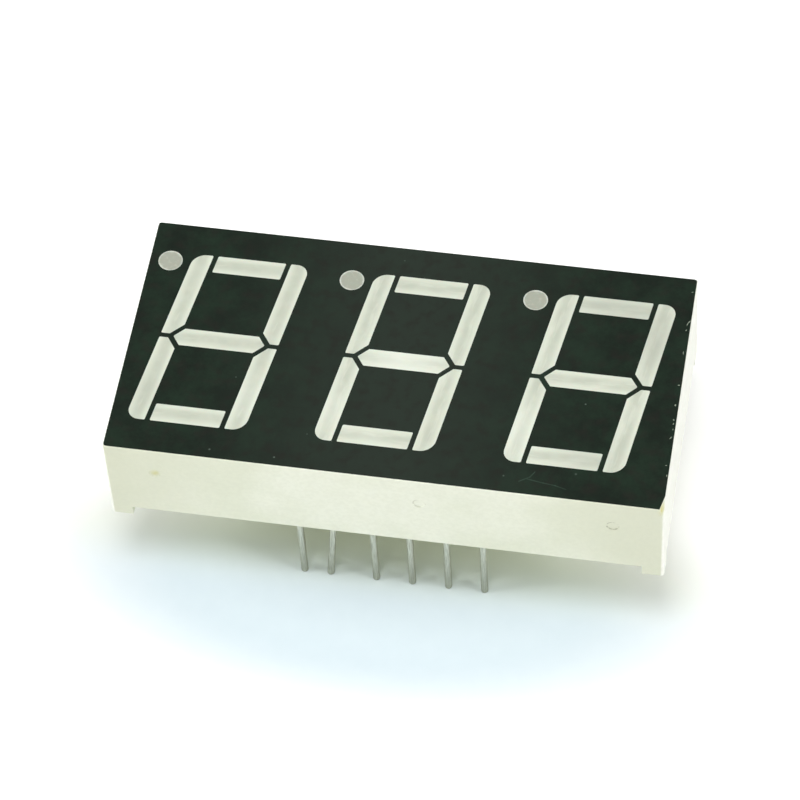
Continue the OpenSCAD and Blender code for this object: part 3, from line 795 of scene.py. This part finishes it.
class ScatterFlakes(bpy.types.Operator):
    """Adds the loosened flakes of pale plastic and ink along the flaking end of the face"""

    bl_idname = "display_looks.scatter_flakes"
    bl_label = "Scatter the edge flakes"

    # Each flake's distance from the ink's worn end, place along Y, length, width and turn, in mm and degrees
    flakes = (
        (0.2, -8.35, 0.1, 0.06, 20), (0.24, -5.12, 0.14, 0.08, 80), (0.21, -3.23, 0.28, 0.05, 96),
        (0.19, -0.55, 0.15, 0.08, 20), (0.22, 1.1, 0.2, 0.09, 85), (0.18, 2.3, 0.15, 0.09, 95),
        (0.17, 2.62, 0.13, 0.1, 60), (0.14, 3.07, 0.13, 0.06, 90), (0.2, 3.75, 0.22, 0.08, 65),
        (0.23, 5.98, 0.12, 0.06, 30), (0.09, 6.78, 0.24, 0.05, 96),
    )
    # Points round a flake, and rings from its rim to its top
    around = 20
    across = 4
    # The curled flake: corners of its middle line, as distance from the worn end and place along Y in mm, its
    # width in mm, the points along and across it, and the square of the share of its width left at its ends
    curl = ((0.24, -5.45), (0.25, -5.66), (0.13, -5.85), (0.06, -5.92), (0.0, -5.94))
    curl_width = 0.07
    curl_rings = 24
    curl_across = 7
    curl_tip = 0.02

    def execute(self, context):
        rise = context.scene.display_sizes.flake_rise
        plastic = broken_white_abs()
        for number, (inset, y, length, width, turn) in enumerate(self.flakes, start=1):
            centre = np.array([INK_LOW.x + inset * MM, y * MM, INK_HIGH.z])
            points, faces = self.one_flake(length * MM, width * MM, math.radians(turn), rise, number)
            place_piece(f"edge_flake_{number}", points + centre, faces, plastic)
        points, faces = self.curled_flake(rise)
        place_piece("curled_flake", points, faces, plastic)
        return {"FINISHED"}

    def one_flake(self, length, width, turn, rise, number):
        """A low irregular dome.

        Its outline is an ellipse whose radius swells and shrinks by two sine waves, its height falls with the
        square of the distance out, and a flat base sunk in the ink closes it.
        """
        angle = np.linspace(0, 2 * math.pi, self.around, endpoint=False)
        outline = 1 + 0.22 * np.sin(2 * angle + number) + 0.14 * np.sin(3 * angle + 2.3 * number)
        share = np.concatenate([[1.0], np.linspace(1, 0, self.across, endpoint=False)])[:, None]
        x = share * outline * np.cos(angle) * length / 2
        y = share * outline * np.sin(angle) * width / 2
        z = np.broadcast_to(rise * (1 - share ** 2), x.shape).copy()
        z[0] = -rise
        spun_x = x * math.cos(turn) - y * math.sin(turn)
        spun_y = x * math.sin(turn) + y * math.cos(turn)
        spun = np.stack([spun_x, spun_y, z], axis=-1)
        index = np.arange(spun.shape[0] * self.around).reshape(-1, self.around)
        faces = [face[::-1] for face in grid_faces(index, False)]
        return spun.reshape(-1, 3), faces + [index[0, ::-1].tolist(), index[-1].tolist()]

    def curled_flake(self, rise):
        """A narrow strip along a smooth line through its corners, arched across and pointed at both ends.

        The line is the Bezier curve of the corners, whose weights are Bernstein's powers. The arch is half an
        ellipse, and the width follows the square root of the share of the line times the share that is left.
        """
        corners = np.array([(INK_LOW.x + inset * MM, y * MM) for inset, y in self.curl])
        degree = len(corners) - 1
        t = np.linspace(0, 1, self.curl_rings)[:, None]
        weights = np.array([math.comb(degree, k) for k in range(degree + 1)])
        powers = weights * t ** np.arange(degree + 1) * (1 - t) ** (degree - np.arange(degree + 1))
        line = powers @ corners
        ahead = np.gradient(line, axis=0)
        aside = np.stack([-ahead[:, 1], ahead[:, 0]], axis=-1) / np.linalg.norm(ahead, axis=1)[:, None]
        half = self.curl_width * MM / 2 * np.sqrt(np.clip(4 * t * (1 - t), self.curl_tip, 1))
        angle = np.linspace(0, math.pi, self.curl_across)
        out = np.concatenate([np.cos(angle), [-1.0, 1.0]])
        up = np.concatenate([np.sin(angle) * rise * 2, [-rise, -rise]])
        flat = line[:, None, :] + aside[:, None, :] * (half * out)[..., None]
        height = np.broadcast_to(INK_HIGH.z + up, flat.shape[:2])
        points = np.concatenate([flat, height[..., None]], axis=-1)
        index = np.arange(points.shape[0] * points.shape[1]).reshape(points.shape[:2])
        return points.reshape(-1, 3), grid_faces(index, False) + [index[0].tolist(), index[-1, ::-1].tolist()]


class SetStage(bpy.types.Operator):
    """Sets the white floor, the soft lamps, the surroundings and the camera"""

    bl_idname = "display_looks.set_stage"
    bl_label = "Set the stage"

    floor_half = 1.5
    # Middle of the painted shadow, a darker bluish tint on the floor round the display, and its reach along
    # each axis
    shadow_tint_heart = (1 * MM, 9 * MM, PIN_TIP_Z)
    shadow_tint_reach = (26 * MM, 10.5 * MM, 1.0)
    # Name, place, size and power in watts of each soft lamp, which all point at the display
    lamps = (
        ("key_lamp", (0.0, 0.12, 0.42), 0.14, 0.7),
        ("left_lamp", (0.34, 0.06, 0.25), 0.24, 0.88),
        ("right_lamp", (-0.36, 0.06, 0.22), 0.24, 1.02),
        ("front_lamp", (0.05, 0.42, 0.09), 0.2, 0.46),
    )

    def execute(self, context):
        stage = context.scene.display_stage
        self.add_floor(stage)
        self.add_sky(context.scene, stage)
        for name, place, size, power in self.lamps:
            self.add_lamp(name, Vector(place), size, power)
        self.add_camera(context.scene, stage)
        context.scene.view_settings.view_transform = "Standard"
        return {"FINISHED"}

    def add_floor(self, stage):
        corners = [(-1, -1), (1, -1), (1, 1), (-1, 1)]
        mesh = bpy.data.meshes.new("floor")
        mesh.from_pydata([(x * self.floor_half, y * self.floor_half, PIN_TIP_Z) for x, y in corners], [],
                         [(0, 1, 2, 3)])
        floor = bpy.data.objects.new("floor", mesh)
        bpy.context.scene.collection.objects.link(floor)
        mesh.materials.append(self.white_card(stage))

    def white_card(self, stage):
        """Matt white card, painted a darker bluish white in front of the display as a painted shadow that
        fades into plain white further off.

        Under the display the painted shadow is greener, standing in for light bounced off the housing. The
        far part glows a little where it is seen directly, so it reads as white. From below the card is clear,
        so that the underside shows.
        """
        made, tree, place = new_material("white_card")
        off = add(tree, "VectorMath", {0: place, 1: self.shadow_tint_heart}, operation="SUBTRACT")
        off = add(tree, "VectorMath", {0: off, 1: self.shadow_tint_reach}, operation="DIVIDE")
        off = add(tree, "VectorMath", {0: off}, operation="LENGTH")
        far = add(tree, "MapRange", {"Value": off, "From Min": 0.5, "From Max": 1.2}, **SOFT)
        front = add(tree, "SeparateXYZ", {0: place}).node.outputs["Y"]
        front = add(tree, "MapRange", {"Value": front, "From Min": 4 * MM, "From Max": 10 * MM}, **SOFT)
        fibre = add(tree, "TexNoise", {"Vector": place, "Scale": per_mm(1.5), "Detail": 3.0})
        # Painted shadow: the floor is tinted a darker bluish white round the display and a greener grey under
        # it, fading into plain white further off
        shadow_tint = add(tree, "Mix",
                   {"Factor": fibre, "A": linear("#D4E2EA"), "B": linear("#D9E6EE")}, **COLOUR)
        shadow_tint = add(tree, "Mix", {"Factor": front, "A": linear("#D7DFCF"), "B": shadow_tint}, **COLOUR)
        tone = add(tree, "Mix", {"Factor": far, "A": shadow_tint, "B": linear("#F6F7F5")}, **COLOUR)
        glow = add(tree, "Math", {0: seen_directly(tree), 1: stage.floor_glow}, operation="MULTIPLY")
        glow = add(tree, "Math", {0: glow, 1: far}, operation="MULTIPLY")
        card = add(tree, "BsdfPrincipled",
                   {"Base Color": tone, "Roughness": 0.9, "Specular IOR Level": 0.1,
                    "Emission Color": (1, 1, 1, 1), "Emission Strength": glow})
        clear = add(tree, "BsdfTransparent")
        below = add(tree, "NewGeometry").node.outputs["Backfacing"]
        both = add(tree, "MixShader", {0: below, 1: card, 2: clear})
        add(tree, "OutputMaterial", {"Surface": both})
        return made

    def add_sky(self, scene, stage):
        """White surroundings: a dim, even light, and plain white where they are seen directly."""
        world = bpy.data.worlds.new("white_surroundings")
        world.use_nodes = True
        scene.world = world
        tree = world.node_tree
        tree.nodes.clear()
        dim = stage.sky_strength
        strength = add(tree, "Math",
                       {0: seen_directly(tree), 1: 1 - dim, 2: dim}, operation="MULTIPLY_ADD")
        background = add(tree, "Background", {"Color": (1, 1, 1, 1), "Strength": strength})
        add(tree, "OutputWorld", {"Surface": background})

    def add_lamp(self, name, place, size, power):
        data = bpy.data.lights.new(name, "AREA")
        data.shape = "DISK"
        data.size = size
        data.energy = power
        lamp = bpy.data.objects.new(name, data)
        lamp.location = place
        lamp.rotation_euler = (-place).to_track_quat("-Z", "Y").to_euler()
        bpy.context.scene.collection.objects.link(lamp)

    def add_camera(self, scene, stage):
        data = bpy.data.cameras.new("camera")
        data.sensor_width = 36
        data.lens = stage.lens_mm
        data.clip_start = 0.01
        data.clip_end = 10
        camera = bpy.data.objects.new("camera", data)
        place = Vector(stage.camera_place)
        ahead = Vector(stage.camera_aim) - place
        camera.location = place
        camera.rotation_mode = "QUATERNION"
        roll = Quaternion((0, 0, 1), stage.camera_roll)
        camera.rotation_quaternion = ahead.to_track_quat("-Z", "Y") @ roll
        scene.collection.objects.link(camera)
        scene.camera = camera


class DisplayPanel(bpy.types.Panel):
    """Lists the steps that finish the display, with their colours and sizes"""

    bl_idname = "VIEW3D_PT_display_looks"
    bl_label = "Seven segment display"
    bl_space_type = "VIEW_3D"
    bl_region_type = "UI"
    bl_category = "Display"

    def draw(self, context):
        for group in GROUPS:
            box = self.layout.box()
            settings = getattr(context.scene, group)
            for name in settings.__annotations__:
                box.prop(settings, name)
        for operator in OPERATORS:
            self.layout.operator(operator.bl_idname)


GROUPS = {
    "display_colours": DisplayColours,
    "display_sizes": DisplaySizes,
    "display_stage": StageSettings,
}
OPERATORS = (
    FinishHousing, FinishInk, FinishStrokes, FinishBoard, FinishPins, PourRearResin, ScatterFlakes, SetStage,
)


def register():
    for made in (*GROUPS.values(), *OPERATORS, DisplayPanel):
        bpy.utils.register_class(made)
    for name, group in GROUPS.items():
        setattr(bpy.types.Scene, name, PointerProperty(type=group))


def unregister():
    for name in GROUPS:
        delattr(bpy.types.Scene, name)
    for made in (DisplayPanel, *reversed(OPERATORS), *reversed(GROUPS.values())):
        bpy.utils.unregister_class(made)


def main():
    register()
    bpy.ops.display_looks.finish_housing()
    bpy.ops.display_looks.finish_ink()
    bpy.ops.display_looks.finish_strokes()
    bpy.ops.display_looks.finish_board()
    bpy.ops.display_looks.finish_pins()
    bpy.ops.display_looks.pour_rear_resin()
    bpy.ops.display_looks.scatter_flakes()
    bpy.ops.display_looks.set_stage()


if __name__ == "__main__":
    main()
